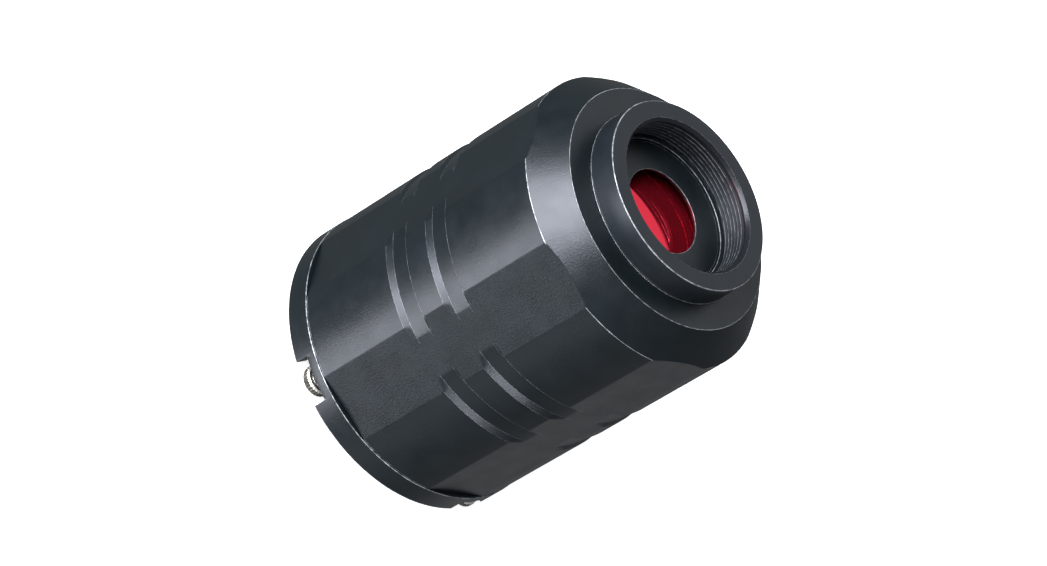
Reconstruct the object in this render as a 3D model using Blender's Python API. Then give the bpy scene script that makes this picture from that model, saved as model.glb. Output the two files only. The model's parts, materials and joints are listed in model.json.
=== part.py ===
"""Cooled astronomy camera, as the separate pieces it comes apart into.

Metres, +Z up. The camera stands on the rim of its rear cover with its nose up, and the origin is the
middle of that rim's base. The optical axis is the Z axis. Flats of the barrel face 0, 60, 120 ... degrees
round from +X, and the thumbscrews sit at 45, 135, 225 and 315 degrees.
"""
import math

import bmesh
import bpy
from mathutils import Matrix, Vector

# Clearances
GAP = 0.0003            # between faces that touch on the real camera
RUNNING = 0.0003        # between a turning piece and what is round it
HOLE = 0.0003           # between a screw and its hole, on the radius

# Rear cover
SKIRT_H = 0.0043        # rim below the plate, which the camera stands on
PLATE_T = 0.0028
COVER_PROUD = 0.0002    # how far the cover stands out past the barrel
SKIRT_WALL = 0.0040
NOTCH_W = 0.0122
COVER_CHAMFER = 0.0003

# Barrel
BARREL_R = 0.0400
BARREL_WALL = 0.0063    # round the rear bay
SHOULDER_Z = 0.0888     # where the front cone starts
CONE_H = 0.0081
CONE_INSET = 0.0072     # front face's radius is this much less than the barrel's
FLAT_COUNT = 6
FLAT_DEPTH = 0.00113    # how far a flat's middle lies inside the cylinder
GROOVE_Z = (0.0375, 0.0522)
GROOVE_W = 0.0073
GROOVE_DEPTH = 0.00073
GROOVE_RAMP = 0.0018    # length of the slanted rear side
LEDGE_Z = 0.0524        # ledge that the heatsink seats on
LEDGE_W = 0.0072        # from the rear bay's bore to the sensor chamber's
APERTURE_R = 0.01145
APERTURE_STEP = 0.0016  # floor of the nose bore, below the front face
APERTURE_LIP = 0.0009
WELL_DEPTH = 0.0022     # space between the aperture plate and the window's ledge
BOSS_WALL = 0.0017
WINDOW_SEAT_W = 0.0020
WINDOW_SEAT_DEPTH = 0.0050
SPIGOT_DEPTH = 0.0035   # of the nose ring's seat in the front face

# Nose ring, with a female thread of 42 mm
THREAD_R = 0.0206       # crests of the thread
NOSE_WALL = 0.0052      # outside the thread
NOSE_H = 0.0077
SPIGOT_WALL = 0.0026
LEDGE_BORE_INSET = 0.0013
LEDGE_H = 0.0005        # ring below the thread
NOSE_CHAMFER = 0.0005

# Window
WINDOW_T = 0.0020
WINDOW_SEAL_T = 0.0008
WINDOW_SEAL_W = 0.0013
RETAINER_T = 0.0014
RETAINER_WALL = 0.0020

# Sensor and its board
SENSOR_SIZE = (0.0300, 0.0240, 0.0024)
SENSOR_GLASS = (0.0250, 0.0190, 0.0007)
BOARD_T = 0.0016
SENSOR_BOARD_SPACE = 0.0010     # between the board's edge and the chamber
STANDOFF_R = 0.0022
STANDOFF_L = 0.0027
STANDOFF_EDGE = 0.0006          # left of the board outside a standoff

# Cold side
PELTIER_W = 0.0300
PELTIER_PLATE_T = 0.0008
PELLET_H = 0.0018
PELLET_COUNT = 5
PELLET_W = 0.0024
PELLET_EDGE = 0.0010
FOOT_T = 0.0030
FINGER_SIZE = (0.0180, 0.0140)
LINER_T = 0.0018
LINER_SPACE = 0.0008    # below the sensor board
DESICCANT_W = 0.0150
DESICCANT_T = 0.0030
DESICCANT_SPACE = 0.0070        # above and below the pack
DESICCANT_INSET = 0.0037        # middle of the pack, inside the liner
RIBBON_W = 0.0160
RIBBON_T = 0.0005
RIBBON_INSET = 0.0019   # inside the liner

# Heatsink
SINK_BASE_T = 0.0057
SINK_FIN_SPACE = 0.0028 # between the fins and the main board
SINK_FIN_COUNT = 11
SINK_FIN_T = 0.0014
SINK_FIN_PITCH = 0.0044
SINK_FIN_DEPTH = 0.0400
SEAL_INSET = 0.0018     # middle of the chamber O-ring, outside the chamber
SEAL_W = 0.0014
SEAL_GROOVE = 0.0012

# Fan
FAN_W = 0.0400
FAN_H = 0.0100
FAN_WALL = 0.0010
FAN_HOLE_INSET = 0.0040
FAN_CORNER = 0.0030
HUB_R = 0.0105
HUB_WALL = 0.0013
TIP_SPACE = 0.0007
BLADE_COUNT = 7
BLADE_T = 0.0009
BLADE_SWEEP = math.radians(38)
BLADE_LIFT = 0.0010     # blades' lower edge above the frame's face
BLADE_DROP = 0.0012     # blades' upper edge below the struts
CUP_LIFT = 0.0006
CUP_DROP = 0.0008
STRUT_W = 0.0024
STRUT_T = 0.0016
STRUT_ROOT = 0.0005     # how far a strut reaches into the frame and the motor plate
SHAFT_R = 0.0012
BEARING_WALL = 0.0008
BEARING_LIFT = 0.0030
TUBE_WALL = 0.0012
STATOR_R = 0.0082

# Main board
MAIN_BOARD_SPACE = 0.0026       # above the fan
MAIN_BOARD_EDGE = 0.0010        # between the board's edge and the barrel
MAIN_BOARD_HOLE_EDGE = 0.0005   # between the fan's side and the board's hole
POST_R = 0.0022
POST_EDGE = 0.0011
POST_ANGLE = 68

# Sockets: each size is (across, away from the axis)
USB3_SIZE = (0.0120, 0.0106)
USB3_MOUTH = (0.0090, 0.0088)
USB3_DEPTH = 0.0100
USB3_TONGUE = (0.0056, 0.0032)
POWER_SIZE = (0.0090, 0.0110)
POWER_BORE_R = 0.0032
POWER_DEPTH = 0.0100
POWER_PIN_R = 0.0010
HUB_SIZE = (0.0132, 0.0066)
HUB_MOUTH = (0.0122, 0.0050)
HUB_DEPTH = 0.0105
HUB_TONGUE = (0.0110, 0.0018)
GUIDE_SIZE = (0.0132, 0.0114)
GUIDE_MOUTH = (0.0098, 0.0069)
GUIDE_DEPTH = 0.0110
TONGUE_RECESS = 0.0010  # from a socket's mouth to its tongue or pin

# Rear plate openings
GRILLE_SHARES = ((0.1125, 0.2), (0.2375, 0.325), (0.3625, 0.45))    # of the fan's width
GRILLE_SPOKE = 0.0022
EXHAUST_SPACE = 0.0009  # between a fan screw's head and the exhaust slot
EXHAUST_W = 0.0036
EXHAUST_HALF_ANGLE = 16

# Screws
THUMB_INSET = 0.0041    # from the cover's edge to a thumbscrew's axis
THUMB_HEAD_R = 0.0042
THUMB_HEAD_H = 0.0023
THUMB_CHAMFER = 0.0004
THUMB_COLLAR_R = 0.0026
THUMB_SHANK_R = 0.0015
THUMB_REACH = 0.0080    # thread inside the barrel
THUMB_FOOT = 0.0002     # head stays this far above the rim's base
SCREW_SHANK_R = 0.0013
SCREW_HEAD_R = 0.0019
SCREW_HEAD_H = 0.0018
SCREW_HEAD_SPACE = 0.0005       # between a head and the barrel's bore
SINK_SCREW_REACH = 0.0055
FAN_HEAD_R = 0.0026
FAN_HEAD_H = 0.0012
FAN_SCREW_SHORT = 0.0010        # screw's end below the fan's top

# Steps round a turned piece
BARREL_STEPS = 60
COVER_STEPS = 56
RING_STEPS = 48
SEAL_STEPS = 32
BORE_STEPS = 24
KNOB_STEPS = 20
SLEEVE_STEPS = 16
SMALL_STEPS = 12

# Radii worked out from the sizes above
COVER_R = BARREL_R + COVER_PROUD
RIM_INNER_R = COVER_R - SKIRT_WALL
FACE_R = BARREL_R - CONE_INSET
FLAT_DISTANCE = BARREL_R - FLAT_DEPTH
BAY_R = BARREL_R - BARREL_WALL
CHAMBER_R = BAY_R - LEDGE_W
NOSE_R = THREAD_R + NOSE_WALL
SPIGOT_R = THREAD_R + SPIGOT_WALL
LEDGE_BORE_R = THREAD_R - LEDGE_BORE_INSET
WELL_R = LEDGE_BORE_R - BOSS_WALL
WINDOW_SEAT_R = WELL_R + WINDOW_SEAT_W
LINER_R = CHAMBER_R - GAP
LINER_INNER_R = LINER_R - LINER_T
SENSOR_BOARD_R = CHAMBER_R - SENSOR_BOARD_SPACE
STANDOFF_CIRCLE = SENSOR_BOARD_R - STANDOFF_EDGE - STANDOFF_R
DESICCANT_Y = DESICCANT_INSET - LINER_INNER_R
RIBBON_Y = LINER_INNER_R - RIBBON_INSET
SINK_R = BAY_R - GAP
SINK_SCREW_CIRCLE = BAY_R - SCREW_HEAD_SPACE - SCREW_HEAD_R
SEAL_R = CHAMBER_R + SEAL_INSET
FAN_BORE_R = FAN_W / 2 - FAN_WALL
FAN_HOLE_CIRCLE = (FAN_W / 2 - FAN_HOLE_INSET) * math.sqrt(2)
GRILLE_RINGS = tuple((inner * FAN_W, outer * FAN_W) for inner, outer in GRILLE_SHARES)
BLADE_R = FAN_BORE_R - TIP_SPACE
BEARING_R = SHAFT_R + RUNNING + BEARING_WALL
TUBE_R = BEARING_R + GAP
MAIN_BOARD_R = BAY_R - MAIN_BOARD_EDGE
MAIN_BOARD_HOLE_R = FAN_W / 2 + MAIN_BOARD_HOLE_EDGE
POST_CIRCLE = MAIN_BOARD_R - POST_EDGE - POST_R
SOCKET_CIRCLE = (FAN_W / 2 + BAY_R) / 2
EXHAUST_R = FAN_HOLE_CIRCLE + FAN_HEAD_R + EXHAUST_SPACE
THUMB_CIRCLE = COVER_R - THUMB_INSET

# Heights worked out from the sizes above
COVER_H = SKIRT_H + PLATE_T
BARREL_BASE = COVER_H + GAP
FACE_Z = SHOULDER_Z + CONE_H
NOSE_BASE = FACE_Z + GAP
NOSE_TOP = FACE_Z + NOSE_H
SPIGOT_Z = FACE_Z - SPIGOT_DEPTH
APERTURE_Z = FACE_Z - APERTURE_STEP
LIP_BASE = APERTURE_Z - APERTURE_LIP
WINDOW_LEDGE_Z = LIP_BASE - WELL_DEPTH
WINDOW_SEAL_TOP = WINDOW_LEDGE_Z - GAP
WINDOW_TOP = WINDOW_SEAL_TOP - WINDOW_SEAL_T - GAP
RETAINER_TOP = WINDOW_TOP - WINDOW_T - GAP
FRONT_WALL_Z = WINDOW_LEDGE_Z - WINDOW_SEAT_DEPTH
SENSOR_BOARD_TOP = FRONT_WALL_Z - STANDOFF_L - 2 * GAP
SENSOR_BOARD_Z = SENSOR_BOARD_TOP - BOARD_T
SENSOR_Z = SENSOR_BOARD_TOP + GAP
FAN_Z = COVER_H + GAP
FAN_TOP = FAN_Z + FAN_H
MOTOR_Z = FAN_TOP - STRUT_T
MAIN_BOARD_Z = FAN_TOP + MAIN_BOARD_SPACE
MAIN_BOARD_TOP = MAIN_BOARD_Z + BOARD_T
SINK_TOP = LEDGE_Z - GAP
SINK_BASE = SINK_TOP - SINK_BASE_T
SINK_FIN_Z = MAIN_BOARD_TOP + SINK_FIN_SPACE
HOT_PLATE_Z = SINK_TOP + GAP
COLD_PLATE_Z = HOT_PLATE_Z + PELTIER_PLATE_T + PELLET_H + GAP
FOOT_Z = COLD_PLATE_Z + PELTIER_PLATE_T + GAP
LINER_TOP = SENSOR_BOARD_Z - LINER_SPACE
DESICCANT_Z = HOT_PLATE_Z + DESICCANT_SPACE
DESICCANT_TOP = SENSOR_BOARD_Z - DESICCANT_SPACE
SOCKET_MOUTH = SKIRT_H + GAP
SOCKET_LENGTH = MAIN_BOARD_Z - GAP - SOCKET_MOUTH
DIAGONALS = (45, 135, 225, 315)


# ---- materials ----

def material(name, colour, roughness, metallic, transmission=0.0):
    found = bpy.data.materials.new(name)
    found.use_nodes = True
    shader = found.node_tree.nodes["Principled BSDF"]
    shader.inputs["Base Color"].default_value = (*colour, 1.0)
    shader.inputs["Roughness"].default_value = roughness
    shader.inputs["Metallic"].default_value = metallic
    shader.inputs["Transmission Weight"].default_value = transmission
    return found


def make_materials():
    return {
        "anodised": material("black_anodised", (0.030, 0.035, 0.042), 0.45, 0.6),
        "nose": material("black_anodised_nose", (0.032, 0.037, 0.044), 0.40, 0.6),
        "knurled": material("black_knurled", (0.050, 0.055, 0.060), 0.35, 0.8),
        "window": material("dichroic_window", (0.80, 0.03, 0.07), 0.05, 0.6, 0.3),
        "clear": material("clear_glass", (0.85, 0.95, 0.92), 0.03, 0.0, 0.9),
        "rubber": material("seal_rubber", (0.02, 0.02, 0.02), 0.7, 0.0),
        "retainer": material("retainer_anodised", (0.04, 0.04, 0.045), 0.4, 0.6),
        "ceramic": material("peltier_ceramic", (0.85, 0.85, 0.82), 0.5, 0.0),
        "sensor": material("sensor_package", (0.20, 0.19, 0.18), 0.4, 0.0),
        "board": material("board_green", (0.02, 0.12, 0.05), 0.35, 0.0),
        "copper": material("cold_finger_copper", (0.80, 0.40, 0.25), 0.3, 1.0),
        "foam": material("insulation_foam", (0.05, 0.05, 0.055), 0.95, 0.0),
        "paper": material("desiccant_paper", (0.85, 0.84, 0.80), 0.9, 0.0),
        "ribbon": material("ribbon_film", (0.60, 0.30, 0.06), 0.35, 0.0),
        "aluminium": material("heatsink_aluminium", (0.75, 0.76, 0.78), 0.35, 1.0),
        "steel": material("screw_steel", (0.55, 0.55, 0.57), 0.3, 1.0),
        "plastic": material("fan_plastic", (0.015, 0.015, 0.017), 0.45, 0.0),
        "brass": material("bearing_bronze", (0.60, 0.42, 0.18), 0.35, 1.0),
        "winding": material("stator_winding", (0.45, 0.18, 0.07), 0.4, 0.6),
        "shell": material("socket_shell", (0.70, 0.70, 0.72), 0.3, 1.0),
        "insert": material("socket_insert", (0.03, 0.12, 0.55), 0.45, 0.0),
        "black_insert": material("socket_black", (0.02, 0.02, 0.022), 0.5, 0.0),
    }


# ---- building blocks ----

def clear_scene():
    for leftover in list(bpy.data.objects):
        bpy.data.objects.remove(leftover, do_unlink=True)


def finish_mesh(name, bm, smooth_below=30):
    bmesh.ops.recalc_face_normals(bm, faces=bm.faces)
    mesh = bpy.data.meshes.new(name)
    bm.to_mesh(mesh)
    bm.free()
    mesh.shade_smooth()
    mesh.set_sharp_from_angle(angle=math.radians(smooth_below))
    return mesh


def place(name, mesh, finish, parent, location=(0, 0, 0), turn=0):
    piece = bpy.data.objects.new(name, mesh)
    bpy.context.scene.collection.objects.link(piece)
    mesh.materials.clear()
    mesh.materials.append(finish)
    piece.location = location
    piece.rotation_euler = (0, 0, math.radians(turn))
    piece.parent = parent
    return piece


def polar(radius, degrees, z=0.0):
    return Vector((radius * math.cos(math.radians(degrees)), radius * math.sin(math.radians(degrees)), z))


def add_turned(bm, outline, steps, at=(0, 0, 0)):
    """Turns a closed outline of (radius, z) points round the Z axis."""
    centre = Vector(at)
    rings = []
    for radius, z in outline:
        if radius == 0:
            rings.append([bm.verts.new(centre + Vector((0, 0, z)))] * steps)
            continue
        ring = []
        for step in range(steps):
            ring.append(bm.verts.new(centre + polar(radius, 360 * step / steps, z)))
        rings.append(ring)
    for here, there in zip(rings, rings[1:] + rings[:1]):
        for step in range(steps):
            after = (step + 1) % steps
            corners = [here[step], here[after], there[after], there[step]]
            kept = []
            for corner in corners:
                if corner not in kept:
                    kept.append(corner)
            if len(kept) > 2:
                bm.faces.new(kept)


def add_box(bm, low, high, turn=0):
    """Adds a box between two corners, then turns it round the Z axis."""
    middle = (Vector(low) + Vector(high)) / 2
    size = Vector(high) - Vector(low)
    shift = Matrix.Rotation(math.radians(turn), 4, "Z") @ Matrix.Translation(middle)
    bmesh.ops.create_cube(bm, size=1, matrix=shift @ Matrix.Diagonal((*size, 1)))


def add_prism(bm, outline, z_low, z_high):
    """Extrudes a closed outline of (x, y) points."""
    low = [bm.verts.new((x, y, z_low)) for x, y in outline]
    high = [bm.verts.new((x, y, z_high)) for x, y in outline]
    bm.faces.new(low)
    bm.faces.new(high)
    for index in range(len(outline)):
        after = (index + 1) % len(outline)
        bm.faces.new([low[index], low[after], high[after], high[index]])


def arc(radius, start, end, steps):
    points = []
    for step in range(steps + 1):
        point = polar(radius, start + (end - start) * step / steps)
        points.append((point.x, point.y))
    return points


def rounded_square(width, corner, steps=4):
    half = width / 2 - corner
    points = []
    for quarter, (sx, sy) in enumerate(((1, 1), (-1, 1), (-1, -1), (1, -1))):
        for x, y in arc(corner, 90 * quarter, 90 * quarter + 90, steps):
            points.append((sx * half + x, sy * half + y))
    return points


def rod(radius, z_low, z_high):
    return [(0, z_low), (radius, z_low), (radius, z_high), (0, z_high)]


def washer(inner, outer, z_low, z_high):
    return [(inner, z_low), (outer, z_low), (outer, z_high), (inner, z_high)]


def boolean(piece, bm, operation="DIFFERENCE"):
    """Cuts a hidden tool out of a piece, or joins it on."""
    tool = bpy.data.objects.new(piece.name + "_tool", finish_mesh(piece.name + "_tool", bm))
    bpy.context.scene.collection.objects.link(tool)
    tool.hide_render = True
    tool.display_type = "WIRE"
    tool.parent = piece.parent
    tool.location = piece.location
    tool.rotation_euler = piece.rotation_euler
    step = piece.modifiers.new("shape", "BOOLEAN")
    step.operation = operation
    step.solver = "EXACT"
    step.object = tool


def turned(name, outline, steps, finish, parent, location=(0, 0, 0)):
    bm = bmesh.new()
    add_turned(bm, outline, steps)
    return place(name, finish_mesh(name, bm), finish, parent, location)


# ---- housing ----

def barrel_outline():
    """Half section of the barrel, counter-clockwise from its rear outer edge."""
    outer = [(BARREL_R, BARREL_BASE)]
    for start in GROOVE_Z:
        floor_r = BARREL_R - GROOVE_DEPTH
        outer.append((BARREL_R, start))
        outer.append((floor_r, start + GROOVE_RAMP))
        outer.append((floor_r, start + GROOVE_W - GROOVE_DEPTH))
        outer.append((BARREL_R, start + GROOVE_W))
    outer += [(BARREL_R, SHOULDER_Z), (FACE_R, FACE_Z)]
    spigot_bore = SPIGOT_R + GAP
    boss_r = LEDGE_BORE_R
    front = [(spigot_bore, FACE_Z), (spigot_bore, SPIGOT_Z - GAP), (boss_r, SPIGOT_Z - GAP)]
    front += [(boss_r, APERTURE_Z), (APERTURE_R, APERTURE_Z), (APERTURE_R, LIP_BASE)]
    inner = [(WELL_R, LIP_BASE), (WELL_R, WINDOW_LEDGE_Z), (WINDOW_SEAT_R, WINDOW_LEDGE_Z)]
    inner += [(WINDOW_SEAT_R, FRONT_WALL_Z), (CHAMBER_R, FRONT_WALL_Z)]
    inner += [(CHAMBER_R, LEDGE_Z), (BAY_R, LEDGE_Z), (BAY_R, BARREL_BASE)]
    return outer + front + inner


def make_main_housing(finish, parent):
    housing = turned("main_housing", barrel_outline(), BARREL_STEPS, finish, parent)
    flats = bmesh.new()
    for index in range(FLAT_COUNT):
        low = (FLAT_DISTANCE, -BARREL_R * 0.6, BARREL_BASE - GAP)
        high = (BARREL_R * 1.1, BARREL_R * 0.6, FACE_Z + GAP)
        add_box(flats, low, high, turn=360 * index / FLAT_COUNT)
    boolean(housing, flats)
    holes = bmesh.new()
    for angle in DIAGONALS:
        hole = rod(THUMB_SHANK_R + HOLE, 0, THUMB_REACH + 2 * GAP)
        add_turned(holes, hole, SMALL_STEPS, polar(THUMB_CIRCLE, angle, BARREL_BASE - GAP))
        hole = rod(SCREW_SHANK_R + HOLE, -GAP, SINK_SCREW_REACH + 2 * GAP)
        add_turned(holes, hole, SMALL_STEPS, polar(SINK_SCREW_CIRCLE, angle, LEDGE_Z))
    boolean(housing, holes)


def make_nose_ring(finish, parent):
    outline = [
        (NOSE_R, NOSE_BASE),
        (NOSE_R, NOSE_TOP - NOSE_CHAMFER / 2),
        (NOSE_R - NOSE_CHAMFER / 2, NOSE_TOP),
        (THREAD_R + NOSE_CHAMFER, NOSE_TOP),
        (THREAD_R, NOSE_TOP - NOSE_CHAMFER),
        (THREAD_R, APERTURE_Z + GAP + LEDGE_H),
        (LEDGE_BORE_R + GAP, APERTURE_Z + LEDGE_H),
        (LEDGE_BORE_R + GAP, SPIGOT_Z),
        (SPIGOT_R, SPIGOT_Z),
        (SPIGOT_R, NOSE_BASE),
    ]
    turned("nose_ring", outline, RING_STEPS, finish, parent)


def make_window(finish, parent):
    seat_r = WINDOW_SEAT_R - GAP
    glass = rod(seat_r, WINDOW_TOP - WINDOW_T, WINDOW_TOP)
    turned("window_glass", glass, SEAL_STEPS, finish["window"], parent)
    seal = washer(seat_r - WINDOW_SEAL_W, seat_r, WINDOW_SEAL_TOP - WINDOW_SEAL_T, WINDOW_SEAL_TOP)
    turned("window_o_ring", seal, SEAL_STEPS, finish["rubber"], parent)
    ring = washer(seat_r - RETAINER_WALL, seat_r, RETAINER_TOP - RETAINER_T, RETAINER_TOP)
    turned("window_retaining_ring", ring, SEAL_STEPS, finish["retainer"], parent)


# ---- rear cover ----

def make_rear_cover(finish, parent):
    outline = [
        (0, SKIRT_H),
        (RIM_INNER_R, SKIRT_H),
        (RIM_INNER_R, 0),
        (COVER_R, 0),
        (COVER_R, COVER_H - COVER_CHAMFER),
        (COVER_R - COVER_CHAMFER, COVER_H),
        (0, COVER_H),
    ]
    cover = turned("rear_cover", outline, COVER_STEPS, finish, parent)
    cuts = bmesh.new()
    for angle in DIAGONALS:
        low = (RIM_INNER_R - SKIRT_WALL / 2, -NOTCH_W / 2, -GAP)
        add_box(cuts, low, (COVER_R + SKIRT_WALL / 2, NOTCH_W / 2, SKIRT_H), turn=angle)
    boolean(cover, cuts)
    holes = bmesh.new()
    add_grille(holes)
    for angle, size, _ in socket_plan():
        across, out = size
        low = (SOCKET_CIRCLE - out / 2 - GAP, -across / 2 - GAP, SKIRT_H - GAP)
        high = (SOCKET_CIRCLE + out / 2 + GAP, across / 2 + GAP, COVER_H + GAP)
        add_box(holes, low, high, turn=angle)
    for angle in DIAGONALS:
        hole = rod(THUMB_SHANK_R + HOLE, SKIRT_H - GAP, COVER_H + GAP)
        add_turned(holes, hole, SMALL_STEPS, polar(THUMB_CIRCLE, angle))
        sink = [(0, SKIRT_H - GAP), (FAN_HEAD_R + HOLE, SKIRT_H - GAP)]
        sink += [(FAN_HEAD_R + HOLE, SKIRT_H + FAN_HEAD_H + 2 * GAP)]
        sink += [(SCREW_SHANK_R + HOLE, SKIRT_H + FAN_HEAD_H + 2 * GAP)]
        sink += [(SCREW_SHANK_R + HOLE, COVER_H + GAP), (0, COVER_H + GAP)]
        add_turned(holes, sink, SMALL_STEPS, polar(FAN_HOLE_CIRCLE, angle))
    boolean(cover, holes)


def add_grille(bm):
    """Slots over the fan in three rings, and an exhaust slot on each diagonal."""
    for inner, outer in GRILLE_RINGS:
        for quarter in range(4):
            trim_in = math.degrees(GRILLE_SPOKE / 2 / inner)
            trim_out = math.degrees(GRILLE_SPOKE / 2 / outer)
            start = 90 * quarter
            points = arc(inner, start + trim_in, start + 90 - trim_in, 4)
            points += arc(outer, start + 90 - trim_out, start + trim_out, 4)
            add_prism(bm, points, SKIRT_H - GAP, COVER_H + GAP)
    inner = EXHAUST_R
    outer = EXHAUST_R + EXHAUST_W
    for angle in DIAGONALS:
        points = arc(inner, angle - EXHAUST_HALF_ANGLE, angle + EXHAUST_HALF_ANGLE, 4)
        points += arc(outer, angle + EXHAUST_HALF_ANGLE, angle - EXHAUST_HALF_ANGLE, 4)
        add_prism(bm, points, SKIRT_H - GAP, COVER_H + GAP)


def make_thumbscrews(finish, parent):
    """Knurled head, collar under the plate and a shank into the barrel, each on its own axis."""
    collar_top = SKIRT_H - GAP - THUMB_FOOT
    tip = BARREL_BASE + THUMB_REACH - THUMB_FOOT
    outline = [
        (0, 0),
        (THUMB_HEAD_R - THUMB_CHAMFER, 0),
        (THUMB_HEAD_R, THUMB_CHAMFER),
        (THUMB_HEAD_R, THUMB_HEAD_H - THUMB_CHAMFER),
        (THUMB_HEAD_R - THUMB_CHAMFER, THUMB_HEAD_H),
        (THUMB_COLLAR_R, THUMB_HEAD_H),
        (THUMB_COLLAR_R, collar_top),
        (THUMB_SHANK_R, collar_top),
        (THUMB_SHANK_R, tip),
        (0, tip),
    ]
    for number, angle in enumerate(DIAGONALS, 1):
        where = polar(THUMB_CIRCLE, angle, THUMB_FOOT)
        turned(f"thumbscrew_{number}", outline, KNOB_STEPS, finish, parent, where)


# ---- sockets ----

def socket_plan():
    """Direction, outer size (across, away from the axis) and name of each socket."""
    return (
        (270, USB3_SIZE, "usb3_b_socket"),
        (0, POWER_SIZE, "power_socket"),
        (90, HUB_SIZE, "usb_hub_socket"),
        (180, GUIDE_SIZE, "guide_port"),
    )


def make_socket(name, angle, size, finish, parent, mouth, depth):
    """A box whose mouth looks down through the plate, with its origin on its own middle line."""
    across, out = size
    bm = bmesh.new()
    add_box(bm, (-out / 2, -across / 2, 0), (out / 2, across / 2, SOCKET_LENGTH))
    where = polar(SOCKET_CIRCLE, angle, SOCKET_MOUTH)
    body = place(name, finish_mesh(name, bm), finish, parent, where, angle)
    hollow = bmesh.new()
    if len(mouth) == 1:
        add_turned(hollow, rod(mouth[0], -GAP, depth), BORE_STEPS)
    else:
        add_box(hollow, (-mouth[1] / 2, -mouth[0] / 2, -GAP), (mouth[1] / 2, mouth[0] / 2, depth))
    boolean(body, hollow)
    return where


def make_insert(name, angle, size, finish, parent, where, base):
    """The tongue or pin that stands on the bottom of a socket's hollow."""
    bm = bmesh.new()
    if len(size) == 1:
        add_turned(bm, rod(size[0], TONGUE_RECESS, base - GAP), SMALL_STEPS)
    else:
        low = (-size[1] / 2, -size[0] / 2, TONGUE_RECESS)
        add_box(bm, low, (size[1] / 2, size[0] / 2, base - GAP))
    place(name, finish_mesh(name, bm), finish, parent, where, angle)


def make_sockets(finish, parent):
    plan = {name: (angle, size) for angle, size, name in socket_plan()}
    angle, size = plan["usb3_b_socket"]
    where = make_socket("usb3_b_socket", angle, size, finish["shell"], parent, USB3_MOUTH, USB3_DEPTH)
    make_insert("usb3_b_tongue", angle, USB3_TONGUE, finish["insert"], parent, where, USB3_DEPTH)
    angle, size = plan["power_socket"]
    bore = (POWER_BORE_R,)
    where = make_socket("power_socket", angle, size, finish["black_insert"], parent, bore, POWER_DEPTH)
    make_insert("power_pin", angle, (POWER_PIN_R,), finish["steel"], parent, where, POWER_DEPTH)
    angle, size = plan["usb_hub_socket"]
    where = make_socket("usb_hub_socket", angle, size, finish["shell"], parent, HUB_MOUTH, HUB_DEPTH)
    make_insert("usb_hub_tongue", angle, HUB_TONGUE, finish["black_insert"], parent, where, HUB_DEPTH)
    angle, size = plan["guide_port"]
    make_socket("guide_port", angle, size, finish["black_insert"], parent, GUIDE_MOUTH, GUIDE_DEPTH)


# ---- boards ----

def make_main_board(finish, parent):
    disc = washer(MAIN_BOARD_HOLE_R, MAIN_BOARD_R, MAIN_BOARD_Z, MAIN_BOARD_TOP)
    turned("main_board", disc, SEAL_STEPS, finish["board"], parent)
    post = rod(POST_R, BARREL_BASE, MAIN_BOARD_Z - GAP)
    for number in range(len(DIAGONALS)):
        where = polar(POST_CIRCLE, POST_ANGLE + 90 * number)
        turned(f"board_post_{number + 1}", post, SMALL_STEPS, finish["steel"], parent, where)


def make_sensor(finish, parent):
    disc = rod(SENSOR_BOARD_R, SENSOR_BOARD_Z, SENSOR_BOARD_TOP)
    board = turned("sensor_board", disc, SEAL_STEPS, finish["board"], parent)
    window = bmesh.new()
    half_x = FINGER_SIZE[0] / 2 + GAP
    half_y = FINGER_SIZE[1] / 2 + GAP
    low = (-half_x, -half_y, SENSOR_BOARD_Z - GAP)
    add_box(window, low, (half_x, half_y, SENSOR_BOARD_TOP + GAP))
    boolean(board, window)
    bm = bmesh.new()
    width, depth, height = SENSOR_SIZE
    add_box(bm, (-width / 2, -depth / 2, SENSOR_Z), (width / 2, depth / 2, SENSOR_Z + height))
    place("sensor_package", finish_mesh("sensor_package", bm), finish["sensor"], parent)
    bm = bmesh.new()
    glass_z = SENSOR_Z + height + GAP
    width, depth, height = SENSOR_GLASS
    add_box(bm, (-width / 2, -depth / 2, glass_z), (width / 2, depth / 2, glass_z + height))
    place("sensor_cover_glass", finish_mesh("sensor_cover_glass", bm), finish["clear"], parent)
    post = rod(STANDOFF_R, SENSOR_BOARD_TOP + GAP, FRONT_WALL_Z - GAP)
    for number, angle in enumerate(DIAGONALS, 1):
        where = polar(STANDOFF_CIRCLE, angle)
        turned(f"sensor_standoff_{number}", post, SMALL_STEPS, finish["steel"], parent, where)


# ---- cooling ----

def make_peltier(finish, parent):
    half = PELTIER_W / 2
    bm = bmesh.new()
    add_box(bm, (-half, -half, HOT_PLATE_Z), (half, half, HOT_PLATE_Z + PELTIER_PLATE_T))
    hot = place("peltier_hot_side", finish_mesh("peltier_hot_side", bm), finish["ceramic"], parent)
    pellets = bmesh.new()
    pitch = (PELTIER_W - PELLET_W - 2 * PELLET_EDGE) / (PELLET_COUNT - 1)
    sink = PELTIER_PLATE_T / 2
    for row in range(PELLET_COUNT):
        for column in range(PELLET_COUNT):
            x = (row - (PELLET_COUNT - 1) / 2) * pitch
            y = (column - (PELLET_COUNT - 1) / 2) * pitch
            low = (x - PELLET_W / 2, y - PELLET_W / 2, HOT_PLATE_Z + sink)
            top = HOT_PLATE_Z + PELTIER_PLATE_T + PELLET_H
            add_box(pellets, low, (x + PELLET_W / 2, y + PELLET_W / 2, top))
    boolean(hot, pellets, "UNION")
    bm = bmesh.new()
    add_box(bm, (-half, -half, COLD_PLATE_Z), (half, half, COLD_PLATE_Z + PELTIER_PLATE_T))
    place("peltier_cold_plate", finish_mesh("peltier_cold_plate", bm), finish["ceramic"], parent)


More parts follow.
